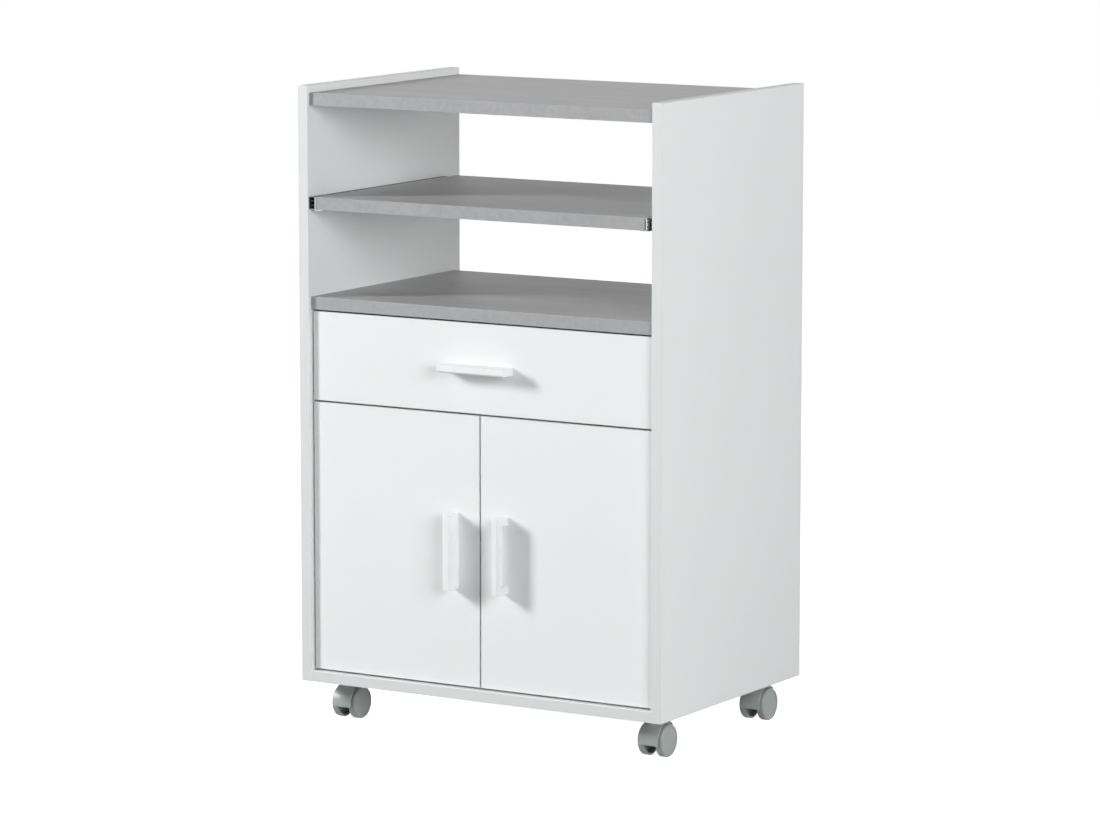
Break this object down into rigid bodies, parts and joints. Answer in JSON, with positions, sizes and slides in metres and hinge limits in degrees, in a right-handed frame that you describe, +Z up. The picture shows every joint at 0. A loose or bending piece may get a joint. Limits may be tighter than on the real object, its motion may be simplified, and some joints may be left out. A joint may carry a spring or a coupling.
{
  "type": "microwave cart",
  "caption": "Upright kitchen cart on twin-wheel swivel casters: open bays with a pull-out shelf, a drawer and a two-door cupboard.",
  "frame": {"origin": "on the floor under the middle of the cart's bounding box", "axes": "+X to the right seen from the front, +Y to the back, +Z up; the doors and drawer face -Y"},
  "size_m": [0.59, 0.419, 0.91],
  "materials": {
    "white_board": "gloss white melamine on chipboard",
    "grey_laminate": "satin cement-look laminate on chipboard",
    "hardboard": "white lacquered hardboard",
    "handle_white": "smooth white moulding",
    "caster_grey": "moulded grey nylon",
    "nylon": "moulded white nylon",
    "zinc_steel": "bright zinc plate",
    "white_steel": "white epoxy coat",
    "black_steel": "black electro-coat on 17 mm ball slides"
  },
  "bodies": {
    "cabinet": {"left_side_panel": "white_board", "right_side_panel": "white_board", "top_shelf": "grey_laminate", "counter_shelf": "grey_laminate", "base_panel": "white_board", "back_panel": "hardboard", "middle_rail": "white_board", "inner_shelf": "white_board", "shelf_pins": "zinc_steel", "joint_fittings": "zinc_steel", "small_fixings": "zinc_steel", "caster_plates": "zinc_steel", "shelf_slide_outer_left": "black_steel", "shelf_slide_outer_right": "black_steel", "cabinet_runner_left": "white_steel", "cabinet_runner_right": "white_steel", "left_hinge_arms": "zinc_steel", "right_hinge_arms": "zinc_steel"},
    "pullout_shelf": {"sliding_shelf": "grey_laminate", "shelf_slide_inner_left": "white_steel", "shelf_slide_inner_right": "white_steel"},
    "left_ball_cage": {"shelf_ball_cage_left": "black_steel"},
    "right_ball_cage": {"shelf_ball_cage_right": "black_steel"},
    "drawer": {"drawer_front": "white_board", "drawer_side_left": "white_board", "drawer_side_right": "white_board", "drawer_back": "white_board", "drawer_bottom": "hardboard", "drawer_handle": "handle_white", "drawer_fittings": "zinc_steel", "drawer_runner_left": "white_steel", "drawer_runner_right": "white_steel"},
    "left_cabinet_roller": {"cabinet_roller_left": "nylon"},
    "right_cabinet_roller": {"cabinet_roller_right": "nylon"},
    "left_drawer_roller": {"drawer_roller_left": "nylon"},
    "right_drawer_roller": {"drawer_roller_right": "nylon"},
    "left_door": {"left_door": "white_board", "left_door_handle": "handle_white", "left_hinge_cups": "zinc_steel", "left_door_screws": "zinc_steel"},
    "right_door": {"right_door": "white_board", "right_door_handle": "handle_white", "right_hinge_cups": "zinc_steel", "right_door_screws": "zinc_steel"},
    "front_left_caster": {"caster_front_left_housing": "caster_grey", "caster_front_left_axle": "zinc_steel"},
    "front_left_wheel_left": {"caster_front_left_wheel_left": "caster_grey"},
    "front_left_wheel_right": {"caster_front_left_wheel_right": "caster_grey"},
    "front_right_caster": {"caster_front_right_housing": "caster_grey", "caster_front_right_axle": "zinc_steel"},
    "front_right_wheel_left": {"caster_front_right_wheel_left": "caster_grey"},
    "front_right_wheel_right": {"caster_front_right_wheel_right": "caster_grey"},
    "back_left_caster": {"caster_back_left_housing": "caster_grey", "caster_back_left_axle": "zinc_steel"},
    "back_left_wheel_left": {"caster_back_left_wheel_left": "caster_grey"},
    "back_left_wheel_right": {"caster_back_left_wheel_right": "caster_grey"},
    "back_right_caster": {"caster_back_right_housing": "caster_grey", "caster_back_right_axle": "zinc_steel"},
    "back_right_wheel_left": {"caster_back_right_wheel_left": "caster_grey"},
    "back_right_wheel_right": {"caster_back_right_wheel_right": "caster_grey"}
  },
  "joints": [
    {"name": "shelf_slide", "type": "slide", "parent": "cabinet", "child": "pullout_shelf", "axis": [0, -1, 0], "range_m": [0, 0.25]},
    {"name": "left_cage_slide", "type": "slide", "parent": "cabinet", "child": "left_ball_cage", "axis": [0, -1, 0], "range_m": [0, 0.125]},
    {"name": "right_cage_slide", "type": "slide", "parent": "cabinet", "child": "right_ball_cage", "axis": [0, -1, 0], "range_m": [0, 0.125]},
    {"name": "drawer_slide", "type": "slide", "parent": "cabinet", "child": "drawer", "axis": [0, -1, 0], "range_m": [0, 0.27]},
    {"name": "left_cabinet_roller_turn", "type": "hinge", "parent": "cabinet", "child": "left_cabinet_roller", "pos_m": [-0.2736, -0.1495, 0.4948], "axis": [1, 0, 0], "continuous": true},
    {"name": "left_drawer_roller_turn", "type": "hinge", "parent": "drawer", "child": "left_drawer_roller", "pos_m": [-0.2736, 0.1695, 0.4932], "axis": [1, 0, 0], "continuous": true},
    {"name": "right_cabinet_roller_turn", "type": "hinge", "parent": "cabinet", "child": "right_cabinet_roller", "pos_m": [0.2736, -0.1495, 0.4948], "axis": [1, 0, 0], "continuous": true},
    {"name": "right_drawer_roller_turn", "type": "hinge", "parent": "drawer", "child": "right_drawer_roller", "pos_m": [0.2736, 0.1695, 0.4932], "axis": [1, 0, 0], "continuous": true},
    {"name": "left_door_hinge", "type": "hinge", "parent": "cabinet", "child": "left_door", "pos_m": [-0.2585, -0.1735, 0.2705], "axis": [0, 0, -1], "range_deg": [0, 100]},
    {"name": "right_door_hinge", "type": "hinge", "parent": "cabinet", "child": "right_door", "pos_m": [0.2585, -0.1735, 0.2705], "axis": [0, 0, 1], "range_deg": [0, 100]},
    {"name": "front_left_swivel", "type": "hinge", "parent": "cabinet", "child": "front_left_caster", "pos_m": [-0.253, -0.1355, 0.045], "axis": [0, 0, 1], "continuous": true},
    {"name": "front_left_wheel_left_turn", "type": "hinge", "parent": "front_left_caster", "child": "front_left_wheel_left", "pos_m": [-0.268, -0.1255, 0.023], "axis": [1, 0, 0], "continuous": true},
    {"name": "front_left_wheel_right_turn", "type": "hinge", "parent": "front_left_caster", "child": "front_left_wheel_right", "pos_m": [-0.238, -0.1255, 0.023], "axis": [1, 0, 0], "continuous": true},
    {"name": "front_right_swivel", "type": "hinge", "parent": "cabinet", "child": "front_right_caster", "pos_m": [0.253, -0.1355, 0.045], "axis": [0, 0, 1], "continuous": true},
    {"name": "front_right_wheel_left_turn", "type": "hinge", "parent": "front_right_caster", "child": "front_right_wheel_left", "pos_m": [0.238, -0.1255, 0.023], "axis": [1, 0, 0], "continuous": true},
    {"name": "front_right_wheel_right_turn", "type": "hinge", "parent": "front_right_caster", "child": "front_right_wheel_right", "pos_m": [0.268, -0.1255, 0.023], "axis": [1, 0, 0], "continuous": true},
    {"name": "back_left_swivel", "type": "hinge", "parent": "cabinet", "child": "back_left_caster", "pos_m": [-0.253, 0.1545, 0.045], "axis": [0, 0, 1], "continuous": true},
    {"name": "back_left_wheel_left_turn", "type": "hinge", "parent": "back_left_caster", "child": "back_left_wheel_left", "pos_m": [-0.268, 0.1645, 0.023], "axis": [1, 0, 0], "continuous": true},
    {"name": "back_left_wheel_right_turn", "type": "hinge", "parent": "back_left_caster", "child": "back_left_wheel_right", "pos_m": [-0.238, 0.1645, 0.023], "axis": [1, 0, 0], "continuous": true},
    {"name": "back_right_swivel", "type": "hinge", "parent": "cabinet", "child": "back_right_caster", "pos_m": [0.253, 0.1545, 0.045], "axis": [0, 0, 1], "continuous": true},
    {"name": "back_right_wheel_left_turn", "type": "hinge", "parent": "back_right_caster", "child": "back_right_wheel_left", "pos_m": [0.238, 0.1645, 0.023], "axis": [1, 0, 0], "continuous": true},
    {"name": "back_right_wheel_right_turn", "type": "hinge", "parent": "back_right_caster", "child": "back_right_wheel_right", "pos_m": [0.268, 0.1645, 0.023], "axis": [1, 0, 0], "continuous": true}
  ],
  "couplings": [
    {"joint": "left_cage_slide", "follows": "shelf_slide", "ratio": 0.5},
    {"joint": "right_cage_slide", "follows": "shelf_slide", "ratio": 0.5}
  ]
}
